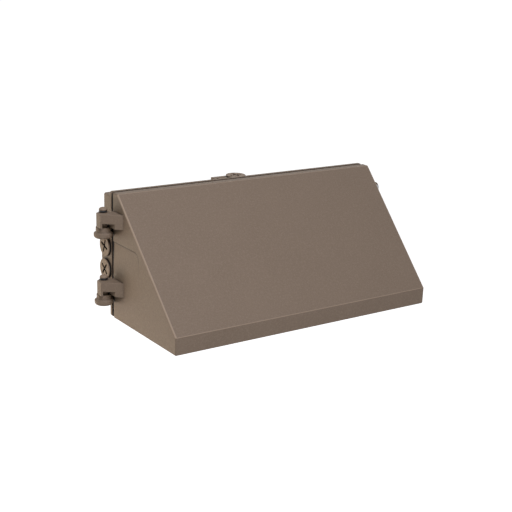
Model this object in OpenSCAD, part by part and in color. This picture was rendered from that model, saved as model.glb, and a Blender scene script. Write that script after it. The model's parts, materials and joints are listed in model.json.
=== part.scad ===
/* [Door] */
// Width of the door casting along its rear edge
door_w = 360; // [340:5:400]
// Height of the whole light
unit_h = 149; // [145:1:160]
// Depth of the door from its rear edge to its lip
door_d = 136; // [132:1:150]
// Height of the upright lip at the foot of the slope
lip_h = 20.5; // [18:0.5:26]
// Depth of the flat strip on top, behind the slope
crown_d = 10; // [8:0.5:14]
// Draft of the two side walls, in degrees
draft_deg = 2; // [1:0.25:2.5]
// Wall thickness of the door casting
door_t = 3.2; // [2.8:0.1:3.8]
// Radius of the door's outer edges
edge_r = 1.8; // [1:0.1:2.4]
// Width of the flat land that closes on the door seal
land_w = 9; // [8.5:0.5:11]
// Thickness of that land
land_t = 4; // [3:0.5:5]

/* [Side recess] */
// Height of the recess's upper edge above the light's middle
recess_top = 18; // [10:0.5:22]
// Length of the recess from the door's rear edge
recess_len = 57.5; // [40:0.5:64]
// Height over which the recess fades out
recess_h = 31; // [20:1:40]
// Depth of the recess at its upper edge
recess_d = 1; // [0.3:0.1:1.2]
// Radius of its upper front corner
recess_r = 9; // [4:0.5:12]

/* [Housing] */
// Depth of the rear housing from the wall to its rim
housing_d = 25.5; // [25.5:0.5:32]
// Thickness of the housing's back wall
back_t = 3.5; // [3:0.1:4]
// Thickness of the housing's side walls
tub_t = 3; // [2.5:0.1:3.5]
// How far the side walls stand in from the rim's outline
tub_inset = 3.5; // [3:0.1:4]
// How much further the top wall stands in
top_drop = 3; // [2.5:0.1:3.5]
// Depth of the rim
rim_t = 4.5; // [4:0.5:6.5]
// Width of the rim's flat land
rim_w = 9; // [8.5:0.5:11]
// Corner radius of the rim
rim_r = 3; // [2:0.5:5]
// How far below the middle the slanted lower corners begin
corner_drop = 24.5; // [22:0.5:30]

/* [Door seal] */
// Open gap between the rim and the door
seal_gap = 4.5; // [3.5:0.1:5.5]
// Width of the seal
seal_w = 3.6; // [3:0.1:4]
// Depth of the groove that holds the seal
groove_d = 1.5; // [1:0.1:1.6]
// Distance from the rim's outline to the groove
groove_in = 3.4; // [2.8:0.1:4]
// Distance from the rim's outline to the seal's bead
bead_in = 1.2; // [0.8:0.1:2]

/* [Hinge] */
// How far the hinge axis stands out from the door's side
hinge_out = 11.6; // [11.5:0.1:12.2]
// How far the hinge axis stands in front of the rim
hinge_fwd = 3.1; // [2.5:0.1:3.5]
// Distance from the door's top to the upper arm
arm_drop = 21.2; // [19:0.1:24]
// Spacing of the two arms
arm_pitch = 79.2; // [76:0.1:82]
// Height of an arm
arm_h = 16.6; // [15.6:0.1:18]
// Height of the web that bridges the arm's notch
web_h = 10.8; // [9.8:0.1:11.4]
// Distance from the hinge axis to the arm's flat end face
arm_out = 8.1; // [8:0.1:8.6]
// Radius of the arm's boss round the pin
arm_boss_r = 5.6; // [5.5:0.1:6]
// Length of the arm's flat end face in front of the axis
arm_fwd = 9.5; // [8.5:0.1:11]
// Slant of the arm's front face, in degrees
arm_slant = 37; // [32:1:40]
// Radius of the housing's hinge lug
lug_r = 10.7; // [10.5:0.1:11.1]
// Height of the lug below the arm
lug_h = 12.6; // [11:0.1:14]
// Radius of the lug's neck, inside the arm's notch
neck_r = 5.4; // [5:0.1:5.5]
// Radius of the hinge pin
pin_r = 3.2; // [2.8:0.1:3.4]
// Radius of the pin's domed head
pin_head_r = 4.7; // [4.4:0.1:5]
// Height of the bush between the arm and the pin's head
bush_h = 1.8; // [1.4:0.1:3]

/* [Conduit entries] */
// Radius of a conduit entry
entry_r = 10.4; // [10:0.1:10.5]
// Radius of a closing plug's flange
plug_r = 12; // [11.5:0.1:12.3]
// Thickness of that flange
plug_t = 1.7; // [1.5:0.1:2]
// Thickness of the seal below it
plug_seal_t = 1.2; // [0.8:0.1:1.4]
// Distance of the entries' axes from the wall
entry_y = 12.4; // [12.4:0.1:13]
// Height of the upper side entry above the light's middle
entry_z = 8.5; // [7:0.5:10]
// Spacing of the two side entries
entry_pitch = 27.5; // [26:0.5:29]
// Place of the top entry, left of the middle
top_entry_x = 6; // [0:1:20]
// Spacing of the small top hole from the top entry
pilot_pitch = 19.5; // [19:0.5:24]
// Radius of the small top hole
pilot_r = 4.4; // [4:0.1:4.8]
// Radius of the small plug's flange
pilot_plug_r = 6; // [5.4:0.1:6.4]

/* [Wall mounting] */
// Spacing of the two junction box screws
jbox_pitch = 88.9; // [83:0.1:92]
// Radius of the junction box screw holes
jbox_r = 2.6; // [2.3:0.1:3]
// Radius of the rear wire entry
wire_r = 12.5; // [11:0.5:14]
// Spacing of the corner wall holes across
corner_x = 240; // [230:5:260]
// Spacing of the corner wall holes up and down
corner_z = 110; // [106:1:112]
// Radius of the corner wall holes
corner_r = 3.2; // [2.6:0.1:3.6]

/* [Lens] */
// Width of the lens opening
lens_w = 300; // [280:5:310]
// Depth of the lens opening
lens_d = 84; // [78:1:86]
// Distance from the lip to the lens opening
lens_fwd = 18; // [17.5:0.5:20]
// Thickness of the lens glass
glass_t = 4; // [3:0.5:5]
// How far the glass laps over the opening's edge
glass_lap = 5; // [4:0.5:5.5]
// Thickness of the lens seal
lens_seal_t = 1.5; // [1:0.1:2]
// Thickness of the lens frame
frame_t = 1.5; // [1:0.1:2]

/* [Light engine] */
// Height of the reflector between lens frame and board
reflector_h = 12.3; // [11:0.1:16]
// Thickness of the reflector sheet
sheet_t = 1; // [0.8:0.1:1.2]
// How far the plate that carries the boards reaches past their ends
plate_end = 14; // [12:0.5:17]
// How far it reaches past their long edges
plate_side = 8; // [7.5:0.1:10]
// Thickness of that plate
plate_t = 4; // [3:0.5:5]
// Width of one board
board_w = 114; // [108:1:116]
// Depth of one board
board_d = 50; // [46:1:52]
// Thickness of a board
board_t = 1.6; // [1:0.1:2]
// Columns of emitters on a board
led_cols = 10; // [6:1:10]
// Rows of emitters on a board
led_rows = 4; // [3:1:4]

/* [Driver] */
// Length of the driver's case
driver_w = 150; // [130:5:160]
// Height of the driver's case
driver_h = 42; // [36:1:44]
// Thickness of the driver's case
driver_t = 29; // [25:1:32]

/* [Closing screws] */
// How far the screws stand out from the door's side
ear_out = 7; // [6.5:0.1:8]
// Radius of an ear
ear_r = 8; // [7.5:0.1:8.5]
// Height of the ears above and below the middle
ear_z = 45; // [42:0.5:50]
// Depth of a door ear
ear_d = 16; // [15:0.5:18]
// Radius of a closing screw
screw_r = 2.5; // [2:0.1:2.8]
// Travel that frees a closing screw
screw_travel = 7; // [7:0.1:7.5]

/* [Hidden] */
$fn = 48;

// Finishes
bronze = "#7d6e61";
black = "#1b1b1b";
steel = "#b9bcc0";
white = "#eceae4";

// Overrun of every cut, and the fits
over = 1;
pin_fit = 0.08;
press_fit = 0.05;
loose_fit = 0.3;

// Faces of the light, with the wall at zero and the front on the negative side
half_w = door_w / 2;
half_h = unit_h / 2;
rim_y = -housing_d;
rim_back = rim_y + rim_t;
door_y = rim_y - seal_gap;
front_y = door_y - door_d;
crown_y = door_y - crown_d;
lip_z = lip_h - half_h;
slope_deg = atan2(unit_h - lip_h, door_d - crown_d);
floor_z = door_t - half_h;

// Rounded corners
quarter_turn = 90;
arc_steps = 8;
hull_fn = 20;

// Tub and pads of the housing
tub_corner_r = 2.5;
pad_len = 10;
pad_up = 22;
pad_down = 12.7;
top_pad_rise = 0.7;
top_pad_h = 11;
top_pad_side = 14;
top_pad_end = 8.5;
top_pad_z = half_h - tub_inset + top_pad_rise;
boss_h = 2;
boss_wall = 3;
wire_wall = 4;

// Wall seal
wall_seal_w = 124;
wall_seal_h = 54;
wall_seal_t = 1.5;
wall_seal_r = 8;

// Hinge
hinge_x = -half_w - hinge_out;
hinge_y = rim_y - hinge_fwd;
arm_tops = [half_h - arm_drop, half_h - arm_drop - arm_pitch];
arm_gap = 0.4;
arm_end_t = 1.9;
arm_back = 0.9;
arm_root_in = 2;
notch_w = 11;
notch_gap = 0.6;
lug_edge_r = 3;
lug_step_h = 5.5;
lug_cone_w = 2.3;
lug_cone_h = 1.3;
lug_web_in = 3;
lug_web_edge = 1.2;
pin_head_h = 3.6;
pin_head_edge = 0.8;
pin_foot = 1;
bush_in = 0.1;

// Plugs, and how far each one's cross has turned when it is tight
plug_len = 9;
plug_wall = 2.6;
plug_bore_len = 7;
plug_seal_in = 0.4;
cross_w = 2.4;
cross_len = 16;
cross_d = 2.6;
upper_cross_turn = 70;
lower_cross_turn = 51;
top_cross_turn = 2;
pilot_plug_t = 1.3;
pilot_plug_len = 7;
pilot_slot_w = 1.8;
pilot_slot_d = 0.9;

// Driver, terminal block and ground screw
driver_gap = 8;
driver_z = tub_inset + tub_t + driver_gap + driver_h / 2 - half_h;
driver_r = 3;
driver_foot = 11;
driver_foot_t = 1.2;
driver_foot_h = 24;
driver_slot_r = 2.2;
driver_cover_t = 1.2;
small_screw_r = 1.9;
small_head_r = 3.8;
small_head_h = 2.6;
hole_floor = 1.2;
boss_r = 4.6;
terminal_x = 96;
terminal_z = 27;
terminal_w = 44;
terminal_h = 17;
terminal_t = 13;
terminal_ways = 3;
terminal_pitch = 10;
terminal_step = 5;
terminal_hole_r = 3.3;
terminal_ear = 4.6;
clamp_r = 2.9;
clamp_h = 3;
ground_x = -98;
ground_z = 27;
ground_r = 4.5;
ground_collar_r = 6;
ground_collar_t = 1;

// Lens parts
lens_y = front_y + lens_fwd + lens_d / 2;
lens_r = 7;
glass_w = lens_w + 2 * glass_lap;
glass_d = lens_d + 2 * glass_lap;
glass_r = lens_r + glass_lap;
glass_z = floor_z + lens_seal_t;
frame_z = glass_z + glass_t;
lens_boss_r = 3.9;
lens_boss_off = 4.3;
frame_margin = 8.2;
frame_screw_r = 1.6;
frame_head_r = 3;
frame_head_h = 2;
frame_screw_len = 4;
frame_cols = 4;
frame_col_pitch = 82;

// Light engine
reflector_z = frame_z + frame_t;
plate_z = reflector_z + reflector_h;
reflector_land = 1.6;
board_half_gap = 4;
board_x = board_half_gap + board_w / 2;
plate_w = 2 * (board_half_gap + board_w + plate_end);
plate_d = board_d + 2 * plate_side;
window_gap = 0.5;
emitter = 3.5;
emitter_t = 0.7;
optic_in = 1;
optic_wall = 1.2;
optic_air = 0.4;
optic_t = 1.4;
optic_dome_r = 4;
optic_dome_tip_r = 2.6;
optic_dome_h = 1.5;
board_screw_in = 3.2;
board_screw_r = 1.3;
board_head_r = 2.3;
board_head_h = 1.5;
board_screw_len = 4.6;
led_margin_x = board_screw_in + board_head_r + 2 * optic_wall + loose_fit + emitter / 2;
led_margin_y = 7.75;
led_pitch_x = (board_w - 2 * led_margin_x) / (led_cols - 1);
led_pitch_y = (board_d - 2 * led_margin_y) / (led_rows - 1);
plate_screw_in_x = 6;
plate_screw_in_y = 6;
plate_screw_r = 1.8;
plate_head_r = 3;
plate_head_h = 2;
plate_screw_len = 12;
rib_t = 2.6;
rib_boss_r = 4.6;
rib_boss_h = 16;

// Closing screws
ear_root_in = 3;
housing_ear_d = 12;
screw_reach = 6.5;
screw_hole_gap = 0.6;
ring_r = 4.4;
ring_t = 1;
ring_back = 0.5;
counterbore_r = 5.2;
ring_clear = 0.5;
counterbore_d = screw_travel + ring_back + ring_t + ring_clear;
screw_head_r = 5.4;
screw_head_h = 3.8;
screw_slot_w = 1.4;
screw_slot_d = 1.8;

// Points of a polygon's corner b between a and c, rounded to radius r
function unit(v) = v / norm(v);
function corner(a, b, c, r) =
    let (u = unit(a - b), w = unit(c - b), half = acos(u * w) / 2)
    let (mid = b + unit(u + w) * r / sin(half))
    let (p = b + u * r / tan(half) - mid, q = b + w * r / tan(half) - mid)
    let (from = atan2(p.y, p.x), turn = (atan2(q.y, q.x) - from + 540) % 360 - 180)
    [for (k = [0 : arc_steps]) let (t = from + turn * k / arc_steps)
        mid + r * [cos(t), sin(t)]];
function rounded(pts, r) =
    let (n = len(pts))
    [for (k = [0 : n - 1]) each corner(pts[(k + n - 1) % n], pts[k], pts[(k + 1) % n], r)];
function box_pts(w, h, x = 0, y = 0) =
    [[x - w / 2, y - h / 2], [x + w / 2, y - h / 2], [x + w / 2, y + h / 2], [x - w / 2, y + h / 2]];

// Half width of the door at a depth, drawn in from its surface
function side_x(y, inset) = half_w - (door_y - y) * tan(draft_deg) - inset / cos(draft_deg);

// Side outline of the door, as depth and height, drawn in from its surface
function door_profile(inset, back) = [
    [back, inset - half_h],
    [front_y + inset, inset - half_h],
    [front_y + inset, lip_z - inset * (1 - sin(slope_deg)) / cos(slope_deg)],
    [crown_y + inset * (1 - cos(slope_deg)) / sin(slope_deg), half_h - inset],
    [back, half_h - inset]];

// Rear outline of the tub, with both lower corners cut at 45 degrees
function tub_outline(inset) =
    let (x = half_w - inset, z = half_h - inset, top = z - top_drop)
    let (k = half_w - tub_inset + corner_drop - (inset - tub_inset) * sqrt(2))
    [[k - z, -z], [x, x - k], [x, top], [-x, top], [-x, x - k], [z - k, -z]];

// Extrusions along the depth, along the width and upwards
module along_y(back, front) {
    translate([0, back, 0]) rotate([90, 0, 0]) linear_extrude(back - front) children();
}

module along_x(length) {
    rotate([90, 0, 90]) linear_extrude(length, center = true) children();
}

module upright(low, high) {
    translate([0, 0, low]) linear_extrude(high - low) children();
}

// Cylinder along the depth, from its back face to its front face
module rod_y(x, z, r, back, front) {
    translate([x, back, z]) rotate([90, 0, 0]) cylinder(r = r, h = back - front);
}

module rim_outline(inset) {
    polygon(rounded(box_pts(door_w - 2 * inset, unit_h - 2 * inset), rim_r));
}

module seal_outline(gap) {
    difference() {
        rim_outline(groove_in + gap);
        rim_outline(groove_in + seal_w + 2 * loose_fit - gap);
    }
}

// Rear housing
module rear_housing() color(bronze) {
    difference() {
        union() {
            housing_walls();
            housing_bosses();
            for (top = arm_tops) hinge_lug(top - arm_h - arm_gap);
            for (s = [-1, 1]) housing_ear(s * ear_z);
        }
        for (s = [-1, 1], k = [0, 1]) side_entry(s, entry_z - k * entry_pitch);
        translate([-top_entry_x, -entry_y, half_h - top_pad_h - 2 * over])
            cylinder(r = entry_r, h = top_pad_h + 2 * over);
        translate([-top_entry_x - pilot_pitch, -entry_y, half_h - top_pad_h - 2 * over])
            cylinder(r = pilot_r + press_fit, h = top_pad_h + 2 * over);
        translate([-top_entry_x, -entry_y, top_pad_z])
            cylinder(r = plug_r + loose_fit, h = tub_inset + over);
        translate([-top_entry_x - pilot_pitch, -entry_y, top_pad_z])
            cylinder(r = pilot_plug_r + loose_fit, h = tub_inset + over);
        rod_y(0, 0, wire_r, over, -back_t - boss_h - over);
        for (s = [-1, 1]) rod_y(s * jbox_pitch / 2, 0, jbox_r, over, -back_t - boss_h - over);
        for (s = [-1, 1], t = [-1, 1])
            rod_y(s * corner_x / 2, t * corner_z / 2, corner_r, over, -back_t - boss_h - over);
        along_y(over, -wall_seal_t) polygon(rounded(box_pts(wall_seal_w, wall_seal_h), wall_seal_r));
        along_y(rim_y + groove_d, rim_y - over) seal_outline(0);
        for (p = small_screw_places())
            rod_y(p.x, p.y, small_screw_r + press_fit, -hole_floor, -back_t - boss_h - over);
    }
}

module housing_walls() {
    difference() {
        union() {
            along_y(rim_back, rim_y) rim_outline(0);
            along_y(0, rim_back) polygon(rounded(tub_outline(tub_inset), tub_corner_r));
        }
        along_y(-back_t, rim_back) polygon(rounded(tub_outline(tub_inset + tub_t), tub_corner_r));
        along_y(-back_t, rim_y - over) intersection() {
            rim_outline(rim_w);
            polygon(rounded(tub_outline(tub_inset + tub_t), tub_corner_r));
        }
    }
    for (s = [-1, 1]) along_y(0, rim_y)
        polygon(box_pts(pad_len, pad_up + entry_pitch + pad_down,
            s * (half_w - pad_len / 2), entry_z + (pad_up - entry_pitch - pad_down) / 2));
    translate([-top_entry_x - pilot_pitch - top_pad_end, rim_back, half_h - top_pad_h])
        cube([pilot_pitch + top_pad_end + top_pad_side, -rim_back, top_pad_h - tub_inset + top_pad_rise]);
}

module housing_bosses() {
    boss_back = -back_t + over;
    boss_front = -back_t - boss_h;
    rod_y(0, 0, wire_r + wire_wall, boss_back, boss_front);
    for (s = [-1, 1]) rod_y(s * jbox_pitch / 2, 0, jbox_r + boss_wall, boss_back, boss_front);
    for (s = [-1, 1], t = [-1, 1])
        rod_y(s * corner_x / 2, t * corner_z / 2, corner_r + boss_wall, boss_back, boss_front);
    for (p = small_screw_places()) rod_y(p.x, p.y, boss_r, boss_back, boss_front);
}

// Driver feet, terminal block ears and ground screw
function driver_screw_places() =
    [for (s = [-1, 1]) [s * (driver_w + driver_foot) / 2, driver_z]];
function terminal_screw_places() =
    [for (s = [-1, 1]) [terminal_x + s * (terminal_w / 2 - terminal_ear), terminal_z]];
function small_screw_places() =
    concat(driver_screw_places(), terminal_screw_places(), [[ground_x, ground_z]]);

module side_entry(side, z) {
    translate([side * (half_w - pad_len / 2), -entry_y, z]) rotate([0, 90, 0])
        cylinder(r = entry_r, h = pad_len + 2 * over, center = true);
}

// Hinge lug with its narrower shoulder and its neck, below one arm of the door
module hinge_lug(top) {
    low = top - lug_h;
    step = top - lug_step_h;
    neck_top = top + arm_gap + arm_h - web_h - arm_gap;
    difference() {
        union() {
            translate([hinge_x, hinge_y, 0]) rotate_extrude() polygon(concat(
                [[0, low]],
                [for (k = [0 : arc_steps]) let (t = quarter_turn * (k / arc_steps - 1))
                    [lug_r - lug_edge_r + lug_edge_r * cos(t), low + lug_edge_r + lug_edge_r * sin(t)]],
                [[lug_r, step - lug_cone_h], [lug_r - lug_cone_w, step], [lug_r - lug_cone_w, top],
                    [neck_r, top], [neck_r, neck_top], [0, neck_top]]));
            translate([hinge_x, rim_y, low + lug_web_edge])
                cube([hinge_out + lug_web_in, rim_t, lug_h - 2 * lug_web_edge]);
        }
        translate([hinge_x, hinge_y, low - over])
            cylinder(r = pin_r + press_fit, h = neck_top - low + 2 * over);
    }
}

// Ear on the housing that takes a closing screw
module housing_ear(z) {
    difference() {
        union() {
            rod_y(half_w + ear_out, z, ear_r, rim_y + housing_ear_d, rim_y);
            translate([half_w - ear_root_in - tub_inset, rim_y, z - ear_r])
                cube([ear_out + ear_root_in + tub_inset, housing_ear_d, 2 * ear_r]);
        }
        rod_y(half_w + ear_out, z, screw_r + screw_hole_gap, rim_y + housing_ear_d + over, rim_y - over);
    }
}

// Seal with its foot in the groove and a wider bead in the gap
module door_seal() color(black) {
    along_y(rim_y + groove_d, door_y + loose_fit) seal_outline(loose_fit);
    along_y(rim_y, door_y + loose_fit) difference() {
        rim_outline(bead_in);
        rim_outline(groove_in + seal_w);
    }
}

module wall_seal() color(black) {
    difference() {
        along_y(0, -wall_seal_t) polygon(rounded(
            box_pts(wall_seal_w - 2 * loose_fit, wall_seal_h - 2 * loose_fit), wall_seal_r));
        rod_y(0, 0, wire_r + over, over, -wall_seal_t - over);
        for (s = [-1, 1]) rod_y(s * jbox_pitch / 2, 0, jbox_r + over, over, -wall_seal_t - over);
    }
}

// Domed hinge pin, pressed in the lug and free in the arm
module hinge_pin(top) color(bronze) {
    low = top - arm_h - arm_gap - lug_h + pin_foot;
    neck = top + arm_gap + bush_h;
    translate([hinge_x, hinge_y, 0]) rotate_extrude() polygon(concat(
        [[0, low], [pin_r, low], [pin_r, neck], [pin_head_r, neck]],
        [for (k = [0 : arc_steps]) let (t = quarter_turn * k / arc_steps)
            [pin_head_r * cos(t), neck + pin_head_edge + (pin_head_h - pin_head_edge) * sin(t)]]));
}

module upper_hinge_pin() hinge_pin(arm_tops[0]);
module lower_hinge_pin() hinge_pin(arm_tops[1]);

// Bush on the pin, between the arm and the pin's head
module hinge_bush(top) color(black) {
    translate([hinge_x, hinge_y, top + arm_gap]) difference() {
        cylinder(r = pin_head_r - bush_in, h = bush_h);
        translate([0, 0, -over]) cylinder(r = pin_r + press_fit, h = bush_h + 2 * over);
    }
}

module upper_hinge_bush() hinge_bush(arm_tops[0]);
module lower_hinge_bush() hinge_bush(arm_tops[1]);

// Places of the conduit plugs
module on_side(side, z) {
    translate([side * half_w, -entry_y, z]) rotate([0, side * quarter_turn, 0]) children();
}

module on_top() {
    translate([-top_entry_x, -entry_y, top_pad_z]) children();
}

// Threaded plug of a conduit entry, with crossed slots in its face
module conduit_plug(turn) color(bronze) {
    face = plug_seal_t + plug_t;
    difference() {
        union() {
            translate([0, 0, plug_seal_t]) cylinder(r = plug_r, h = plug_t);
            translate([0, 0, -plug_len])
                cylinder(r = entry_r - press_fit, h = plug_len + face - plug_t / 2);
        }
        translate([0, 0, -plug_len - over])
            cylinder(r = entry_r - plug_wall, h = plug_bore_len + over);
        for (a = [0, quarter_turn]) rotate([0, 0, turn + a])
            translate([-cross_len / 2, -cross_w / 2, face - cross_d])
            cube([cross_len, cross_w, cross_d + over]);
    }
}

module left_upper_conduit_plug() on_side(-1, entry_z) conduit_plug(upper_cross_turn);
module left_lower_conduit_plug() on_side(-1, entry_z - entry_pitch) conduit_plug(lower_cross_turn);
module right_upper_conduit_plug() on_side(1, entry_z) conduit_plug(lower_cross_turn);
module right_lower_conduit_plug() on_side(1, entry_z - entry_pitch) conduit_plug(upper_cross_turn);
module top_conduit_plug() on_top() conduit_plug(top_cross_turn);

// Flat seal below a plug's flange
module plug_seal() {
    difference() {
        cylinder(r = plug_r - plug_seal_in, h = plug_seal_t);
        translate([0, 0, -over]) cylinder(r = entry_r, h = plug_seal_t + 2 * over);
    }
}

module plug_seals() color(black) {
    for (s = [-1, 1], k = [0, 1]) on_side(s, entry_z - k * entry_pitch) plug_seal();
    on_top() plug_seal();
}

module small_top_plug() color(bronze) {
    translate([-top_entry_x - pilot_pitch, -entry_y, top_pad_z]) difference() {
        union() {
            cylinder(r = pilot_plug_r, h = pilot_plug_t);
            translate([0, 0, -pilot_plug_len]) cylinder(r = pilot_r, h = pilot_plug_len + pilot_plug_t / 2);
        }
        translate([-pilot_plug_r, -pilot_slot_w / 2, pilot_plug_t - pilot_slot_d])
            cube([2 * pilot_plug_r, pilot_slot_w, pilot_slot_d + over]);
    }
}

// Pan head screw along the depth, head to the front, seated at a depth
module front_screw(x, z, seat, r, length, head_r, head_h) {
    rod_y(x, z, r, seat + length, seat);
    rod_y(x, z, head_r, seat, seat - head_h);
}

module ground_screw() color("#3f7d4c") {
    seat = -back_t - boss_h;
    rod_y(ground_x, ground_z, ground_collar_r, seat, seat - ground_collar_t);
    front_screw(ground_x, ground_z, seat - ground_collar_t / 2, small_screw_r, back_t - wall_seal_t,
        ground_r, small_head_h);
}

module terminal_block() color(white) {
    back = -back_t - boss_h;
    difference() {
        union() {
            along_y(back, back - terminal_t)
                polygon(box_pts(terminal_w - 4 * terminal_ear, terminal_h, terminal_x, terminal_z));
            along_y(back, back - terminal_step)
                polygon(box_pts(terminal_w, terminal_h, terminal_x, terminal_z));
        }
        for (p = terminal_screw_places())
            rod_y(p.x, p.y, small_screw_r + loose_fit, back + over, back - terminal_t - over);
        for (k = [0 : terminal_ways - 1]) rod_y(way_x(k), terminal_z, terminal_hole_r,
            back - terminal_t + clamp_h, back - terminal_t - over);
    }
}

function way_x(k) = terminal_x + (k - (terminal_ways - 1) / 2) * terminal_pitch;

module terminal_clamp_screws() color("#c9b273") {
    seat = clamp_h - back_t - boss_h - terminal_t;
    for (k = [0 : terminal_ways - 1]) difference() {
        rod_y(way_x(k), terminal_z, clamp_r, seat, seat - clamp_h + loose_fit);
        translate([way_x(k) - clamp_r, seat - clamp_h, terminal_z - screw_slot_w / 2])
            cube([2 * clamp_r, clamp_h / 2, screw_slot_w]);
    }
}

module terminal_block_screws() color(steel) {
    for (p = terminal_screw_places()) front_screw(p.x, p.y, -back_t - boss_h - terminal_step,
        small_screw_r, terminal_step + boss_h, small_head_r, small_head_h);
}

// Driver: a folded tray with feet, and the cover that closes it
module led_driver() color(steel) {
    back = -back_t - boss_h;
    along_y(back, back - driver_t + driver_cover_t)
        polygon(rounded(box_pts(driver_w, driver_h, 0, driver_z), driver_r));
    difference() {
        along_y(back, back - driver_foot_t)
            polygon(box_pts(driver_w + 2 * driver_foot, driver_foot_h, 0, driver_z));
        for (p = driver_screw_places())
            rod_y(p.x, p.y, driver_slot_r, back + over, back - driver_foot_t - over);
    }
}

module led_driver_cover() color(white) {
    back = -back_t - boss_h - driver_t + driver_cover_t;
    along_y(back, back - driver_cover_t)
        polygon(rounded(box_pts(driver_w, driver_h, 0, driver_z), driver_r));
}

module led_driver_screws() color(steel) {
    for (p = driver_screw_places()) front_screw(p.x, p.y, -back_t - boss_h - driver_foot_t,
        small_screw_r, driver_foot_t + boss_h, small_head_r, small_head_h);
}

// Door casting
module door_shell() color(bronze) {
    difference() {
        union() {
            difference() {
                door_outside();
                door_inside(door_t, door_y + over);
            }
            along_y(door_y, door_y - land_t) difference() {
                polygon(box_pts(door_w - door_t, unit_h - door_t));
                rim_outline(land_w);
            }
            for (k = [-2 : 2]) led_rib(k * (plate_w / 2 - plate_screw_in_x) / 2);
            for (p = plate_screw_places()) translate([p.x, p.y, plate_z + plate_t])
                cylinder(r = rib_boss_r, h = rib_boss_h);
            for (p = frame_screw_places()) translate([p.x, p.y, floor_z - over])
                cylinder(r = lens_boss_r, h = frame_z - floor_z + over);
            for (top = arm_tops) hinge_arm(top);
            for (s = [-1, 1]) door_ear(s * ear_z);
        }
        translate([0, lens_y, 0]) upright(-half_h - over, floor_z + over)
            polygon(rounded(box_pts(lens_w, lens_d), lens_r));
        side_recess();
        for (p = plate_screw_places()) translate([p.x, p.y, plate_z])
            cylinder(r = plate_screw_r + press_fit, h = plate_screw_len);
        for (p = frame_screw_places()) translate([p.x, p.y, frame_z - frame_screw_len - press_fit])
            cylinder(r = frame_screw_r + press_fit, h = frame_screw_len + over);
        for (s = [-1, 1]) screw_bore(s * ear_z);
    }
}

// Wedge with every outer edge rounded, cut flat at the rear
module door_outside() {
    intersection() {
        hull() for (s = [-1, 1], p = door_profile(edge_r, door_y + 2 * edge_r))
            translate([s * side_x(p.x, edge_r), p.x, p.y]) sphere(edge_r, $fn = hull_fn);
        along_y(door_y, front_y - over) square([door_w + over, unit_h + over], center = true);
    }
}

// Wedge drawn in from the door's surface
module door_inside(inset, back) {
    intersection() {
        along_x(door_w) polygon(door_profile(inset, back));
        upright(-half_h, half_h) polygon([
            [-side_x(back, inset), back], [-side_x(front_y, inset), front_y],
            [side_x(front_y, inset), front_y], [side_x(back, inset), back]]);
    }
}

// Cooling rib between the roof of the door and the board plate
module led_rib(x) {
    intersection() {
        door_inside(door_t / 2, door_y);
        translate([x - rib_t / 2, lens_y - plate_d / 2, plate_z + plate_t]) cube([rib_t, plate_d, unit_h]);
    }
}

// Hinge arm in plan: a slanted front, a flat end, and a boss round the pin at its back
module arm_plan() {
    root_x = -half_w + arm_root_in;
    end_x = hinge_x - arm_out;
    end_y = hinge_y - arm_fwd;
    polygon([[root_x, end_y - (root_x - end_x) * tan(arm_slant)], [end_x, end_y],
        [end_x, hinge_y + arm_back], [hinge_x, hinge_y + arm_boss_r],
        [hinge_x + arm_out, hinge_y], [hinge_x + arm_out, door_y], [root_x, door_y]]);
    translate([hinge_x, hinge_y]) circle(arm_boss_r);
}

module hinge_arm(top) {
    notch_x = hinge_x - arm_out + arm_end_t;
    low = top - arm_h;
    difference() {
        upright(low, top) arm_plan();
        translate([notch_x, hinge_y - arm_fwd - notch_w, low - over])
            cube([notch_w, arm_fwd + notch_w + arm_out + over, arm_h - web_h + over]);
        translate([hinge_x, hinge_y, low - over])
            cylinder(r = neck_r + notch_gap, h = arm_h - web_h + over);
        translate([hinge_x, hinge_y, low - over])
            cylinder(r = pin_r + pin_fit, h = arm_h + 2 * over);
    }
}

module door_ear(z) {
    rod_y(half_w + ear_out, z, ear_r, door_y, door_y - ear_d);
    translate([half_w - ear_root_in, door_y - ear_d, z - ear_r])
        cube([ear_out + ear_root_in, ear_d, 2 * ear_r]);
}

module screw_bore(z) {
    rod_y(half_w + ear_out, z, screw_r + pin_fit, door_y + over, door_y - ear_d - over);
    rod_y(half_w + ear_out, z, counterbore_r, door_y + over, door_y - counterbore_d);
}

// Recess in the left side that fades out downwards
module side_recess() {
    low = recess_top - recess_h;
    end_y = door_y - recess_len;
    intersection() {
        along_x(door_w + 2 * over) polygon(concat(
            [[door_y + over, low], [door_y + over, recess_top]],
            corner([door_y, recess_top], [end_y, recess_top], [end_y, low], recess_r), [[end_y, low]]));
        translate([-half_w, door_y, low])
            rotate([0, 0, draft_deg]) rotate([0, atan(recess_d / recess_h), 0])
            translate([-over, -recess_len - over, 0])
            cube([over, recess_len + 2 * over, recess_h + over]);
    }
}

// Lens with its seal and frame
module lens_ring(outer_w, outer_d, outer_r, inner_w, inner_d, inner_r) {
    difference() {
        polygon(rounded(box_pts(outer_w, outer_d), outer_r));
        polygon(rounded(box_pts(inner_w, inner_d), inner_r));
    }
}

module lens_seal() color(black) {
    translate([0, lens_y, 0]) upright(floor_z, glass_z)
        lens_ring(glass_w, glass_d, glass_r, lens_w + over, lens_d + over, lens_r);
}

module lens_glass() color("#dfe9ea", 0.4) {
    translate([0, lens_y, 0]) upright(glass_z, frame_z)
        polygon(rounded(box_pts(glass_w, glass_d), glass_r));
}

function frame_screw_places() = concat(
    [for (s = [-1, 1], k = [0 : frame_cols - 1])
        [(k - (frame_cols - 1) / 2) * frame_col_pitch, lens_y + s * (glass_d / 2 + lens_boss_off)]],
    [for (s = [-1, 1]) [s * (glass_w / 2 + lens_boss_off), lens_y]]);

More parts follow.
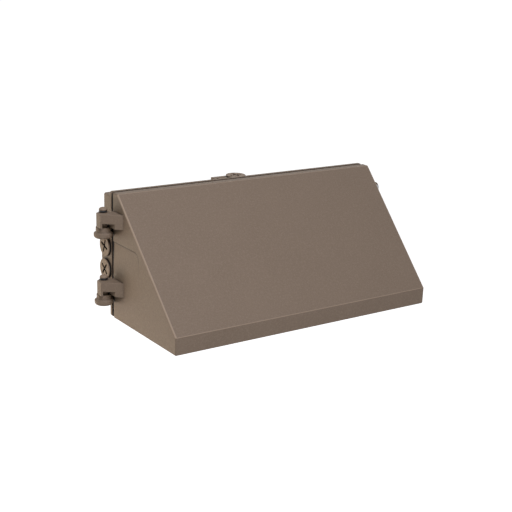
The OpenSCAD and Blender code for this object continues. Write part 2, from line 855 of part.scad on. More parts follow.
module lens_frame() color(steel) {
    difference() {
        translate([0, lens_y, 0]) upright(frame_z, reflector_z) lens_ring(
            glass_w + 2 * frame_margin, glass_d + 2 * frame_margin, glass_r, lens_w, lens_d, lens_r);
        for (p = frame_screw_places()) translate([p.x, p.y, frame_z - over])
            cylinder(r = frame_screw_r + press_fit, h = frame_t + 2 * over);
    }
}

module lens_frame_screws() color(steel) {
    for (p = frame_screw_places()) translate([p.x, p.y, 0]) {
        translate([0, 0, reflector_z]) cylinder(r = frame_head_r, h = frame_head_h);
        translate([0, 0, frame_z - frame_screw_len])
            cylinder(r = frame_screw_r, h = frame_screw_len + frame_t + frame_head_h / 2);
    }
}

// Straight-sided solid from one rectangle up to another
module frustum(low_w, low_d, low, high_w, high_d, high) {
    polyhedron(
        concat([for (p = box_pts(low_w, low_d)) [p.x, p.y, low]],
            [for (p = box_pts(high_w, high_d)) [p.x, p.y, high]]),
        [[0, 1, 2, 3], [7, 6, 5, 4], [4, 5, 1, 0], [5, 6, 2, 1], [6, 7, 3, 2], [7, 4, 0, 3]]);
}

// Reflector: a flat top with a window for each board, and four sloping sides
module reflector() color(white) {
    top_z = plate_z - sheet_t;
    wide = lens_w + 2 * reflector_land;
    deep = lens_d + 2 * reflector_land;
    difference() {
        translate([0, lens_y, reflector_z]) difference() {
            frustum(wide, deep, 0, plate_w, plate_d, reflector_h);
            frustum(wide - 2 * sheet_t, deep - 2 * sheet_t, -over,
                plate_w - 2 * sheet_t, plate_d - 2 * sheet_t, reflector_h - sheet_t);
        }
        for (s = [-1, 1]) translate([s * board_x, lens_y, 0]) upright(top_z - over, plate_z + over)
            square([board_w + 2 * window_gap, board_d + 2 * window_gap], center = true);
        for (p = plate_screw_places()) translate([p.x, p.y, top_z - over])
            cylinder(r = plate_screw_r + press_fit, h = sheet_t + 2 * over);
    }
}

function plate_screw_places() = [for (k = [-1 : 1], s = [-1, 1])
    [k * (plate_w / 2 - plate_screw_in_x), lens_y + s * (plate_d / 2 - plate_screw_in_y)]];

module led_plate() color("#c8cbcd") {
    difference() {
        translate([0, lens_y, 0]) upright(plate_z, plate_z + plate_t)
            square([plate_w, plate_d], center = true);
        for (p = plate_screw_places()) translate([p.x, p.y, plate_z - over])
            cylinder(r = plate_screw_r + press_fit, h = plate_t + 2 * over);
        for (p = board_screw_places()) translate([p.x, p.y, plate_z - over])
            cylinder(r = board_screw_r + press_fit, h = plate_t + 2 * over);
    }
}

module led_plate_screws() color(steel) {
    for (p = plate_screw_places()) translate([p.x, p.y, plate_z - sheet_t]) {
        translate([0, 0, -plate_head_h]) cylinder(r = plate_head_r, h = plate_head_h);
        translate([0, 0, -plate_head_h / 2])
            cylinder(r = plate_screw_r, h = plate_screw_len + plate_head_h / 2);
    }
}

// Boards, emitters and moulded optics
function board_screws(side) = [for (s = [-1, 1], t = [-1, 1])
    [side * board_x + s * (board_w / 2 - board_screw_in), lens_y + t * (board_d / 2 - board_screw_in)]];
function board_screw_places() = concat(board_screws(-1), board_screws(1));
function led_places(side) = [for (c = [0 : led_cols - 1], r = [0 : led_rows - 1])
    [side * board_x + (c - (led_cols - 1) / 2) * led_pitch_x,
        lens_y + (r - (led_rows - 1) / 2) * led_pitch_y]];

module led_board(side) color("#f2f1ec") {
    difference() {
        translate([side * board_x, lens_y, 0]) upright(plate_z - board_t, plate_z)
            square([board_w, board_d], center = true);
        for (p = board_screws(side)) translate([p.x, p.y, plate_z - board_t - over])
            cylinder(r = board_screw_r + press_fit, h = board_t + 2 * over);
    }
}

module leds(side) color("#f1d66a") {
    for (p = led_places(side)) translate([p.x, p.y, plate_z - board_t - emitter_t / 2])
        cube([emitter, emitter, emitter_t], center = true);
}

module optic_plan(inset) {
    cut = board_screw_in + board_head_r + optic_wall;
    difference() {
        square([board_w - 2 * optic_in - 2 * inset, board_d - 2 * optic_in - 2 * inset], center = true);
        for (s = [-1, 1], t = [-1, 1]) translate([s * board_w / 2, t * board_d / 2])
            square(2 * (cut + inset), center = true);
    }
}

module optic(side) color("#e9f0f2", 0.6) {
    seat = plate_z - board_t;
    face = seat - emitter_t - optic_air - optic_t;
    difference() {
        union() {
            translate([side * board_x, lens_y, 0]) upright(face, seat) optic_plan(0);
            for (p = led_places(side)) translate([p.x, p.y, face - optic_dome_h])
                cylinder(r1 = optic_dome_tip_r, r2 = optic_dome_r, h = optic_dome_h + optic_t / 2);
        }
        translate([side * board_x, lens_y, 0]) upright(face + optic_t, seat + over) optic_plan(optic_wall);
    }
}

module left_led_board() led_board(-1);
module right_led_board() led_board(1);
module left_leds() leds(-1);
module right_leds() leds(1);
module left_optic() optic(-1);
module right_optic() optic(1);

module led_board_screws() color(steel) {
    for (p = board_screw_places()) translate([p.x, p.y, plate_z - board_t]) {
        translate([0, 0, -board_head_h]) cylinder(r = board_head_r, h = board_head_h);
        translate([0, 0, -board_head_h / 2])
            cylinder(r = board_screw_r, h = board_screw_len + board_head_h / 2);
    }
}

// Captive closing screw, and the ring that keeps it in the door
module closing_screw(z) color(steel) {
    x = half_w + ear_out;
    seat = door_y - ear_d;
    difference() {
        front_screw(x, z, seat, screw_r, rim_y + screw_reach - seat, screw_head_r, screw_head_h);
        translate([x - screw_head_r, seat - screw_head_h - over, z - screw_slot_w / 2])
            cube([2 * screw_head_r, screw_slot_d + over, screw_slot_w]);
    }
}

module screw_ring(z) color(steel) {
    x = half_w + ear_out;
    difference() {
        rod_y(x, z, ring_r, door_y - ring_back, door_y - ring_back - ring_t);
        rod_y(x, z, screw_r + press_fit, door_y + over, door_y - ring_back - ring_t - over);
    }
}

module upper_closing_screw() closing_screw(ear_z);
module lower_closing_screw() closing_screw(-ear_z);
module upper_screw_ring() screw_ring(ear_z);
module lower_screw_ring() screw_ring(-ear_z);

rear_housing();
door_seal();
wall_seal();
upper_hinge_pin();
lower_hinge_pin();
left_upper_conduit_plug();
left_lower_conduit_plug();
right_upper_conduit_plug();
right_lower_conduit_plug();
top_conduit_plug();
small_top_plug();
plug_seals();
upper_hinge_bush();
lower_hinge_bush();
ground_screw();
terminal_block();
terminal_clamp_screws();
terminal_block_screws();
led_driver();
led_driver_cover();
led_driver_screws();
door_shell();
lens_seal();
lens_glass();
lens_frame();
lens_frame_screws();
reflector();
led_plate();
led_plate_screws();
left_led_board();
right_led_board();
left_leds();
right_leds();
left_optic();
right_optic();
led_board_screws();
upper_closing_screw();
lower_closing_screw();
upper_screw_ring();
lower_screw_ring();
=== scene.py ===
import json
import math

import bmesh
import bpy
from mathutils import Matrix, Vector


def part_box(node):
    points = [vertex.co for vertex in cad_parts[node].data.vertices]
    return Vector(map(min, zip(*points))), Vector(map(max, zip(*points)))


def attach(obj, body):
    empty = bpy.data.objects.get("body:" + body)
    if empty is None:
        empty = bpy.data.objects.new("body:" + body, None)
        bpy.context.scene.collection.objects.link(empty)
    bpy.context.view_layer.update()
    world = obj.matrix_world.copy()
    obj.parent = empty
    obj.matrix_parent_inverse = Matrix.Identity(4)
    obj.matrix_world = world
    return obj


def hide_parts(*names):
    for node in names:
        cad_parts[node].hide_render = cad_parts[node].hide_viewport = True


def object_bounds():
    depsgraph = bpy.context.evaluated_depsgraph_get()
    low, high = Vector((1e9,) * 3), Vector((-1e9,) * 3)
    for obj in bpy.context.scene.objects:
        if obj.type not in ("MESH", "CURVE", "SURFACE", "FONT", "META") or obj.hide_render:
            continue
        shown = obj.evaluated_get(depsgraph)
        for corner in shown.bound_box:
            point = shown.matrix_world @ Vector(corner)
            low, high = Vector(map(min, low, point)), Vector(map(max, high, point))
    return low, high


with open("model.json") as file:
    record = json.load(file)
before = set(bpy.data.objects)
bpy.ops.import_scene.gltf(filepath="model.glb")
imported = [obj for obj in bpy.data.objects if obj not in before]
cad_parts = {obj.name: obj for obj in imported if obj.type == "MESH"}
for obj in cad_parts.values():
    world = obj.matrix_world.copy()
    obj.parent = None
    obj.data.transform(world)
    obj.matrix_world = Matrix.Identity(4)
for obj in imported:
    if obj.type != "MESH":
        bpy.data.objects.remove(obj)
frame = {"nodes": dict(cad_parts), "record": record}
cad_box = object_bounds()

MM = 0.001
DOOR_W = 360 * MM

# Material slot and body of each node
SLOTS = {part["node"]: part["material_slot"] for part in frame["record"]["subparts"]}
BODIES = {
    node: body
    for body, nodes in frame["record"]["behaviour"]["bodies"].items()
    for node in nodes
}

# Camera, solved from the door's corners: turn, height and roll of the view in degrees
VIEW_TURN = -34.25
VIEW_HEIGHT = 16.97
VIEW_ROLL = 1.906
VIEW_DISTANCE = 3.351 * DOOR_W
VIEW_SIDEWAYS = -0.1042 * DOOR_W
VIEW_UP = 0.0047 * DOOR_W
VIEW_CENTRE = Vector((0, -120, -2.5)) * MM
LENS = 73.05

# Floor, daylight and lamps, in metres and watts
FLOOR_DROP = 0.34
FLOOR_SIZE = 30.0
FLOOR_WHITE = (0.86, 0.86, 0.86)
FLOOR_GLOW = 0.95
ROOM_LIGHT = 0.12
LAMP_AIM = (0, -0.05, 0)
LAMPS = [
    # name, watts, size, place, colour
    ("front_lamp", 17.0, 0.7, (-0.32, -0.94, 1.06), (0.77, 0.80, 0.95)),
    ("near_left_lamp", 0.9, 0.3, (-0.6, -0.75, 0.6), (1.0, 0.90, 0.68)),
    ("rear_left_lamp", 2.3, 0.7, (-0.6, 0.75, -0.02), (1.0, 0.90, 0.70)),
    ("low_left_lamp", 1.1, 0.25, (-0.5, 0.3, -0.32), (1.0, 0.80, 0.62)),
]

# Colours of the powder coat, as linear red, green and blue
BRONZE = (0.215, 0.157, 0.107)
BRONZE_DARK = (0.206, 0.150, 0.102)
BRONZE_SPECK = (0.262, 0.196, 0.138)
# Painted highlight on the rounded edges at the ends of the slope
BRONZE_HIGHLIGHT = (0.390, 0.290, 0.204)
# Painted shade along the upper edge of the side recess
BRONZE_SHADE = (0.070, 0.050, 0.034)
# Coat of plugs and pins: the bronze coat made lighter, in part as painted light for how brightly they
# are lit
FITTING = (0.320, 0.236, 0.163)
FITTING_DARK = (0.290, 0.211, 0.144)

# Grain of the coat: size of its spots, depth of its skin, and spread of its specks
PEEL = 2.6 * MM
PEEL_DEPTH = 0.05 * MM
GRAIN = 0.55 * MM
GRAIN_DEPTH = 0.022 * MM
GRAIN_SPREAD = (-0.9, 1.0)
CLOUD = 1.9 * MM
CLOUD_SPREAD = (-0.5, 0.6)
MOTTLE = 45 * MM
COAT_DETAIL = 3.0

# Sheen of the coat
COAT_ROUGH = (0.50, 0.62)
COAT_SHINE = 0.2

# Painted shade in corners and slots: its reach, the share of the colour left there, and where the
# painted shade ends
CREASE = 2.5 * MM
CREASE_LEFT = 0.06
SLOT = 5.0 * MM
SLOT_LEFT = 0.0
SHUT_TO_OPEN = (0.4, 0.95)
OPEN_SAMPLES = 8

# Grain of the other finishes: size of the spots of tone, sheen and skin, and depth of the skin
RUBBER_TONE = 3 * MM
RUBBER_SHEEN = 1.2 * MM
RUBBER_SKIN = 0.8 * MM
RUBBER_DEPTH = 0.03 * MM
RUBBER_SHINE = 0.15
METAL_TONE = 9 * MM
METAL_GRAIN = 2.0 * MM
METAL_DEPTH = 0.01 * MM
MOULDING_TONE = 12 * MM
MOULDING_SHEEN = 4 * MM
MOULDING_SKIN = 1.5 * MM
MOULDING_DEPTH = 0.012 * MM
EMITTER_TONE = 0.5 * MM
EMITTER_SHEEN = 0.8 * MM
EMITTER_SKIN = 0.3 * MM
EMITTER_DEPTH = 0.01 * MM
CLEAR_TONE = 30 * MM
CLEAR_SHEEN = 6 * MM

# Share of a clear piece's tint that its dimmer spots keep
CLEAR_FAINT = 0.98

# Range of the noise that is spread from nothing to full
NOISE_RANGE = (0.3, 0.7)

# Merging of a solid: how near its points are, and how little its flat faces turn, in degrees
MERGE = 0.002 * MM
FLAT_TURN = 0.6

# Softened edges: least turn in degrees, rounds of pieces and of small pieces, and steps of a round
SHARP_TURN = 28
EDGE_ROUND = 0.4 * MM
FINE_ROUND = 0.15 * MM
EDGE_STEPS = 2
ROUND_STEPS = 4

# How much more a large face counts than a small one in the shading, where 50 is even
EVEN_WEIGHT = 80

# How straight a face looks along an axis: a screw's head, an arm's top, the recess's bed
HEAD_STRAIGHT = 0.999
ARM_STRAIGHT = 0.99
BED_STRAIGHT = 0.98

# Crossed recess: span and depth as shares of the head's radius, the rest of the recess's own size
CROSS_SPAN = 0.62
CROSS_DEPTH = 0.38
CROSS_WING = 0.7
CROSS_TAPER = 0.62
CROSS_CORNER = 0.4
CROSS_RIM = 0.3

# Thread of the closing screws, with spare turns at its ends, which are cut off
THREAD_PITCH = 0.8 * MM
THREAD_CREST = 2.45 * MM
THREAD_ROOT = 2.05 * MM
THREAD_TURNS = 18
THREAD_SPARE = 2
THREAD_STEPS = 24
THREAD_SINK = 0.1 * MM
THREAD_MERGE = 0.001 * MM
TIP_BAND = 0.1 * MM

# Round of the hinge arms' upper edges, and how long such an edge is at least
ARM_ROUND = 0.7 * MM
ARM_EDGE = 3 * MM

# Ends of the slope with the painted highlight: where they begin, the largest face of their rounds, and
# how far they look out
SLOPE_END = 173 * MM
SLIM_FACE = 300 * MM * MM
SLOPE_LOOK = 0.2

# Side recess: least and greatest area of its bed, and the band inside its edge where shade is painted
RECESS_BED = (1000 * MM * MM, 2500 * MM * MM)
RECESS_BAND = 2.2 * MM

# Emitters, optics and the driver's cover
EMITTER_FRAME = 0.42 * MM
EMITTER_STEP = 0.03 * MM
EMITTER_SINK = 0.08 * MM
DOME_ROUND = 1.1 * MM
DOME_TIP = 0.01 * MM
COVER_SCREW_R = 2.0 * MM
COVER_SCREW_H = 1.1 * MM
COVER_SCREW_IN = 5.5 * MM
COVER_SCREW_SIDES = 24
COVER_SCREW_ROUND = 0.25 * MM
COVER_SCREW_STEPS = 3

# Which way the screw heads of a node look
HEADS = {
    "ground_screw": (0, -1, 0),
    "terminal_block_screws": (0, -1, 0),
    "led_driver_screws": (0, -1, 0),
    "lens_frame_screws": (0, 0, 1),
    "led_plate_screws": (0, 0, -1),
    "led_board_screws": (0, 0, -1),
}

# Nodes of small pieces, whose edges are softened less
FINE = ("left_leds", "right_leds", "terminal_clamp_screws", "led_board_screws", "wall_seal")


def camera():
    """The camera at its turn, height and roll, moved sideways and up in its own view"""
    turn, height, roll = (math.radians(angle) for angle in (VIEW_TURN, VIEW_HEIGHT, VIEW_ROLL))
    back = Vector((math.sin(turn) * math.cos(height),
                   -math.cos(turn) * math.cos(height),
                   math.sin(height)))
    level = (-back).cross(Vector((0, 0, 1))).normalized()
    plumb = level.cross(-back)
    right = level * math.cos(roll) + plumb * math.sin(roll)
    up = plumb * math.cos(roll) - level * math.sin(roll)
    data = bpy.data.cameras.new("camera")
    data.lens = LENS
    thing = bpy.data.objects.new("camera", data)
    place = VIEW_CENTRE + back * VIEW_DISTANCE + right * VIEW_SIDEWAYS + up * VIEW_UP
    thing.matrix_world = Matrix.Translation(place) @ Matrix((right, up, back)).transposed().to_4x4()
    bpy.context.scene.collection.objects.link(thing)
    bpy.context.scene.camera = thing


def feed(tree, socket, value):
    """Links the socket to another one, or sets it to a plain value"""
    if isinstance(value, bpy.types.NodeSocket):
        tree.links.new(value, socket)
    else:
        socket.default_value = value


def add_node(tree, kind, **inputs):
    """A shader node with its inputs fed by name"""
    node = tree.nodes.new("ShaderNode" + kind)
    for name, value in inputs.items():
        feed(tree, node.inputs[name.replace("_", " ")], value)
    return node


def worked_out(tree, operation, first, second):
    """What a math operation makes of two values"""
    node = tree.nodes.new("ShaderNodeMath")
    node.operation = operation
    feed(tree, node.inputs[0], first)
    feed(tree, node.inputs[1], second)
    return node.outputs[0]


def seen_ray(tree):
    """1 for the rays that show the background: straight, mirrored and through glass"""
    path = tree.nodes.new("ShaderNodeLightPath").outputs
    seen = worked_out(tree, "MAXIMUM", path["Is Camera Ray"], path["Is Glossy Ray"])
    return worked_out(tree, "MAXIMUM", seen, path["Is Transmission Ray"])


def room():
    """White all round, and dim as a source of light"""
    world = bpy.data.worlds.new("room")
    bpy.context.scene.world = world
    world.use_nodes = True
    tree = world.node_tree
    strength = add_node(tree, "MapRange", Value=seen_ray(tree), To_Min=ROOM_LIGHT, To_Max=1.0)
    sky = tree.nodes["Background"]
    sky.inputs["Color"].default_value = (1, 1, 1, 1)
    tree.links.new(strength.outputs["Result"], sky.inputs["Strength"])


def floor():
    """White floor that keeps the shadow, is open from below, and shows as white"""
    material = bpy.data.materials.new("floor_white")
    material.use_nodes = True
    tree = material.node_tree
    tree.nodes.clear()
    glow = worked_out(tree, "MULTIPLY", seen_ray(tree), FLOOR_GLOW)
    lit = add_node(tree, "BsdfDiffuse", Color=(*FLOOR_WHITE, 1))
    shine = add_node(tree, "Emission", Strength=glow)
    both = tree.nodes.new("ShaderNodeAddShader")
    tree.links.new(lit.outputs[0], both.inputs[0])
    tree.links.new(shine.outputs[0], both.inputs[1])
    see_through = tree.nodes.new("ShaderNodeBsdfTransparent")
    by_side = tree.nodes.new("ShaderNodeMixShader")
    tree.links.new(tree.nodes.new("ShaderNodeNewGeometry").outputs["Backfacing"], by_side.inputs[0])
    tree.links.new(both.outputs[0], by_side.inputs[1])
    tree.links.new(see_through.outputs[0], by_side.inputs[2])
    tree.links.new(by_side.outputs[0], tree.nodes.new("ShaderNodeOutputMaterial").inputs["Surface"])
    shape = bmesh.new()
    bmesh.ops.create_grid(shape, x_segments=1, y_segments=1, size=FLOOR_SIZE)
    bmesh.ops.translate(shape, verts=shape.verts, vec=(0, 0, cad_box[0].z - FLOOR_DROP))
    finished(shape, "floor", material)


def lamps():
    """Square lamps, all aimed at one point of the wall pack"""
    for name, watts, size, place, colour in LAMPS:
        data = bpy.data.lights.new(name, "AREA")
        data.energy = watts
        data.size = size
        data.color = colour
        lamp = bpy.data.objects.new(name, data)
        lamp.location = place
        lamp.rotation_euler = (Vector(LAMP_AIM) - Vector(place)).to_track_quat("-Z", "Y").to_euler()
        bpy.context.scene.collection.objects.link(lamp)


def new_finish(name):
    """A material with one Principled shader, and the object's own coordinates in metres"""
    material = bpy.data.materials.new(name)
    material.use_nodes = True
    tree = material.node_tree
    shader = tree.nodes["Principled BSDF"]
    place = tree.nodes.new("ShaderNodeTexCoord").outputs["Object"]
    return material, tree, shader, place


def noise(tree, place, size, low=0.0, high=1.0, detail=2.0):
    """Noise with spots of that size in metres, spread from low to high"""
    spots = add_node(tree, "TexNoise", Vector=place, Scale=1 / size, Detail=detail)
    least, most = NOISE_RANGE
    spread = add_node(tree, "MapRange", Value=spots.outputs["Fac"], From_Min=least, From_Max=most,
                      To_Min=low, To_Max=high)
    return spread.outputs["Result"]


def mixed(tree, factor, first, second):
    """One colour to another along a factor; the first may be a socket"""
    node = tree.nodes.new("ShaderNodeMix")
    node.data_type = "RGBA"
    tree.links.new(factor, node.inputs["Factor"])
    for socket, value in ((node.inputs[6], first), (node.inputs[7], second)):
        feed(tree, socket, value if isinstance(value, bpy.types.NodeSocket) else (*value, 1))
    return node.outputs[2]


def bump(tree, height, depth, under=None):
    """Bump of that depth in metres, over another one"""
    node = add_node(tree, "Bump", Height=height, Distance=depth)
    if under is not None:
        tree.links.new(under, node.inputs["Normal"])
    return node.outputs["Normal"]


def layer_share(tree, layer):
    """The share that the mesh's own layer holds at each point"""
    node = tree.nodes.new("ShaderNodeAttribute")
    node.attribute_name = layer
    return node.outputs["Fac"]


def shaded_in_corners(tree, colour, left, reach):
    """Painted shade: the colour, darkened down to that share of it in corners and gaps within that
    reach in metres
    """
    open_air = add_node(tree, "AmbientOcclusion", Distance=reach)
    open_air.samples = OPEN_SAMPLES
    shut, wide = SHUT_TO_OPEN
    share = add_node(tree, "MapRange", Value=open_air.outputs["AO"], From_Min=shut, From_Max=wide,
                     To_Min=left)
    node = tree.nodes.new("ShaderNodeVectorMath")
    node.operation = "SCALE"
    tree.links.new(colour, node.inputs[0])
    tree.links.new(share.outputs["Result"], node.inputs["Scale"])
    return node.outputs["Vector"]


def powder_coat(name, light, dark, left, reach):
    """Bronze powder coat: soft mottle, fine specks, painted highlight and painted shade, and the skin's
    orange peel
    """
    material, tree, shader, place = new_finish(name)
    colour = mixed(tree, noise(tree, place, MOTTLE), dark, light)
    cloud = noise(tree, place, CLOUD, *CLOUD_SPREAD, detail=COAT_DETAIL)
    colour = mixed(tree, cloud, colour, BRONZE_SPECK)
    fleck = noise(tree, place, GRAIN, *GRAIN_SPREAD, detail=COAT_DETAIL)
    colour = mixed(tree, fleck, colour, BRONZE_SPECK)
    # Painted highlight on the slope's ends and painted shade in the side recess, read from the mesh's
    # layers
    for layer, tone in (("painted_highlight", BRONZE_HIGHLIGHT), ("painted_shade", BRONZE_SHADE)):
        colour = mixed(tree, layer_share(tree, layer), colour, tone)
    # Painted shade in corners, gaps and slots, laid over the colour
    tree.links.new(shaded_in_corners(tree, colour, left, reach), shader.inputs["Base Color"])
    tree.links.new(noise(tree, place, PEEL, *COAT_ROUGH), shader.inputs["Roughness"])
    shader.inputs["Specular IOR Level"].default_value = COAT_SHINE
    skin = bump(tree, noise(tree, place, PEEL), PEEL_DEPTH)
    skin = bump(tree, noise(tree, place, GRAIN), GRAIN_DEPTH, skin)
    tree.links.new(skin, shader.inputs["Normal"])
    return material


def rubber(name, light, dark, rough):
    """Dull rubber of the seals"""
    material, tree, shader, place = new_finish(name)
    colour = mixed(tree, noise(tree, place, RUBBER_TONE), dark, light)
    shader.inputs["Specular IOR Level"].default_value = RUBBER_SHINE
    tree.links.new(colour, shader.inputs["Base Color"])
    tree.links.new(noise(tree, place, RUBBER_SHEEN, *rough), shader.inputs["Roughness"])
    skin = bump(tree, noise(tree, place, RUBBER_SKIN), RUBBER_DEPTH)
    tree.links.new(skin, shader.inputs["Normal"])
    return material


def metal(name, light, dark, rough, squeeze=(1, 1, 1), grain=METAL_GRAIN):
    """Bare or plated metal with a cloudy tone; squeezed across its run, the grain looks brushed"""
    material, tree, shader, place = new_finish(name)
    shader.inputs["Metallic"].default_value = 1.0
    colour = mixed(tree, noise(tree, place, METAL_TONE), dark, light)
    tree.links.new(colour, shader.inputs["Base Color"])
    brushed = add_node(tree, "Mapping", Vector=place, Scale=squeeze).outputs["Vector"]
    tree.links.new(noise(tree, brushed, grain, *rough), shader.inputs["Roughness"])
    skin = bump(tree, noise(tree, brushed, grain), METAL_DEPTH)
    tree.links.new(skin, shader.inputs["Normal"])
    return material


def moulding(name, light, dark, rough):
    """Moulded or coated surface, matt or glossy, with a faint cloud and skin"""
    material, tree, shader, place = new_finish(name)
    colour = mixed(tree, noise(tree, place, MOULDING_TONE), dark, light)
    tree.links.new(colour, shader.inputs["Base Color"])
    tree.links.new(noise(tree, place, MOULDING_SHEEN, *rough), shader.inputs["Roughness"])
    skin = bump(tree, noise(tree, place, MOULDING_SKIN), MOULDING_DEPTH)
    tree.links.new(skin, shader.inputs["Normal"])
    return material


def emitter(name, light, dark, rim, rough):
    """Emitter package: a white rim, and a soft coating in the window"""
    material, tree, shader, place = new_finish(name)
    inside = layer_share(tree, "window")
    coat = mixed(tree, noise(tree, place, EMITTER_TONE), dark, light)
    tree.links.new(mixed(tree, inside, rim, coat), shader.inputs["Base Color"])
    tree.links.new(noise(tree, place, EMITTER_SHEEN, *rough), shader.inputs["Roughness"])
    skin = bump(tree, noise(tree, place, EMITTER_SKIN), EMITTER_DEPTH)
    tree.links.new(skin, shader.inputs["Normal"])
    return material


def clear(name, tint, rough, ior):
    """Clear glass or moulded plastic with a faint unevenness"""
    material, tree, shader, place = new_finish(name)
    shader.inputs["Transmission Weight"].default_value = 1.0
    shader.inputs["IOR"].default_value = ior
    faint = tuple(CLEAR_FAINT * part for part in tint)
    colour = mixed(tree, noise(tree, place, CLEAR_TONE), tint, faint)
    tree.links.new(colour, shader.inputs["Base Color"])
    tree.links.new(noise(tree, place, CLEAR_SHEEN, *rough), shader.inputs["Roughness"])
    return material


def finishes():
    """The finish of every material slot, by its name"""
    kinds = {
        "bronze_casting": (powder_coat, dict(
            light=BRONZE, dark=BRONZE_DARK, left=CREASE_LEFT, reach=CREASE)),
        "bronze_fittings": (powder_coat, dict(
            light=FITTING, dark=FITTING_DARK, left=SLOT_LEFT, reach=SLOT)),
        "black_rubber": (rubber, dict(
            light=(0.012, 0.011, 0.011), dark=(0.007, 0.006, 0.006), rough=(0.62, 0.78))),
        "black_nylon": (moulding, dict(
            light=(0.014, 0.014, 0.015), dark=(0.010, 0.010, 0.010), rough=(0.40, 0.52))),
        "zinc_steel": (metal, dict(
            light=(0.40, 0.40, 0.41), dark=(0.32, 0.32, 0.33), rough=(0.28, 0.42))),
        "green_steel": (metal, dict(
            light=(0.10, 0.32, 0.12), dark=(0.06, 0.24, 0.09), rough=(0.30, 0.45))),
        "white_moulding": (moulding, dict(
            light=(0.80, 0.79, 0.75), dark=(0.74, 0.73, 0.69), rough=(0.42, 0.55))),
        "brass_clamps": (metal, dict(
            light=(0.72, 0.55, 0.25), dark=(0.60, 0.44, 0.19), rough=(0.28, 0.42))),
        "driver_case": (metal, dict(
            light=(0.72, 0.73, 0.74), dark=(0.64, 0.65, 0.66), rough=(0.30, 0.46),
            squeeze=(1, 14, 14), grain=2.4 * MM)),
        "driver_cover": (moulding, dict(
            light=(0.76, 0.76, 0.74), dark=(0.71, 0.71, 0.69), rough=(0.34, 0.46))),
        "clear_glass": (clear, dict(
            tint=(0.93, 0.97, 0.96), rough=(0.0, 0.02), ior=1.5)),
        "white_reflector": (moulding, dict(
            light=(0.86, 0.86, 0.84), dark=(0.82, 0.82, 0.80), rough=(0.20, 0.30))),
        "plain_aluminium": (metal, dict(
            light=(0.80, 0.81, 0.82), dark=(0.72, 0.73, 0.74), rough=(0.28, 0.44),
            squeeze=(1, 12, 12), grain=2.2 * MM)),
        "white_board": (moulding, dict(
            light=(0.84, 0.84, 0.82), dark=(0.79, 0.80, 0.78), rough=(0.24, 0.34))),
        "yellow_emitter": (emitter, dict(
            light=(0.86, 0.60, 0.09), dark=(0.80, 0.52, 0.06), rim=(0.84, 0.84, 0.81),
            rough=(0.30, 0.44))),
        "clear_optic": (clear, dict(
            tint=(0.96, 0.98, 0.98), rough=(0.02, 0.08), ior=1.49)),
    }
    return {name: kind(name, **values) for name, (kind, values) in kinds.items()}


def finished(shape, name, material, smooth=False):
    """The bmesh as an object of the scene, at the origin"""
    mesh = bpy.data.meshes.new(name)
    shape.to_mesh(mesh)
    shape.free()
    mesh.materials.append(material)
    if smooth:
        mesh.shade_smooth()
    thing = bpy.data.objects.new(name, mesh)
    bpy.context.scene.collection.objects.link(thing)
    return thing


def solid_of(node):
    """A copy of a node's solid, merged, with its flat faces whole"""
    shape = bmesh.new()
    shape.from_mesh(frame["nodes"][node].data)
    bmesh.ops.remove_doubles(shape, verts=shape.verts, dist=MERGE)
    bmesh.ops.dissolve_limit(shape, angle_limit=math.radians(FLAT_TURN), verts=shape.verts,
                             edges=shape.edges)
    return shape


def rounded(shape, edges, radius, steps=ROUND_STEPS):
    """Rounds the edges"""
    bmesh.ops.bevel(shape, geom=edges, offset=radius, offset_type="OFFSET", segments=steps,
                    profile=0.5, affect="EDGES", clamp_overlap=False, material=-1)


def soften(shape, radius, steps=EDGE_STEPS):
    """Rounds every sharp edge"""
    sharp = [edge for edge in shape.edges
             if len(edge.link_faces) == 2 and edge.calc_face_angle(0) > math.radians(SHARP_TURN)]
    rounded(shape, sharp, radius, steps)


def highlight_on_slope_ends(shape):
    """Painted highlight: lighter colour along the rounded edges at the ends of the slope, where lamp
    light catches them
    """
    lit_layer = shape.verts.layers.float["painted_highlight"]
    shape.normal_update()
    for vert in shape.verts:
        outward = vert.normal.y < -SLOPE_LOOK and vert.normal.z > SLOPE_LOOK
        at_end = SLOPE_END < abs(vert.co.x) < DOOR_W / 2
        if outward and at_end and all(face.calc_area() < SLIM_FACE for face in vert.link_faces):
            vert[lit_layer] = 1.0


def shade_in_recess(shape):
    """Painted shade: darker along the recess's upper edge, where the overhang's shadow falls, fading
    towards its foot
    """
    shade_layer = shape.verts.layers.float["painted_shade"]
    least, most = RECESS_BED
    bed = next(face for face in shape.faces
               if face.normal.x < -BED_STRAIGHT and least < face.calc_area() < most)
    band = bmesh.ops.inset_region(shape, faces=[bed], thickness=RECESS_BAND)["faces"]
    inner = set(bed.verts)
    rim = dict.fromkeys(vert for face in band for vert in face.verts if vert not in inner)
    foot = min(vert.co.z for vert in rim)
    top = max(vert.co.z for vert in rim)
    for vert in rim:
        vert[shade_layer] = (vert.co.z - foot) / (top - foot)


def arm_edges(shape):
    """The long upper edges of the hinge arms"""
    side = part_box("door_seal")[0].x
    return [edge for edge in shape.edges
            if edge.is_convex and edge.calc_length() > ARM_EDGE
            and all(vert.co.x < side for vert in edge.verts)
            and any(face.normal.z > ARM_STRAIGHT for face in edge.link_faces)]


def islands(shape):
    """The vertices of each connected solid"""
    left = dict.fromkeys(shape.verts)
    while left:
        group = [left.popitem()[0]]
        for vert in group:
            for edge in vert.link_edges:
                near = edge.other_vert(vert)
                if near in left:
                    del left[near]
                    group.append(near)
        yield group


def end_face(group, axis):
    """The face of a solid that looks along the axis and lies farthest out"""
    faces = dict.fromkeys(face for vert in group for face in vert.link_faces)
    return max((face for face in faces if face.normal.dot(axis) > HEAD_STRAIGHT),
               key=lambda face: face.calc_center_median().dot(axis))


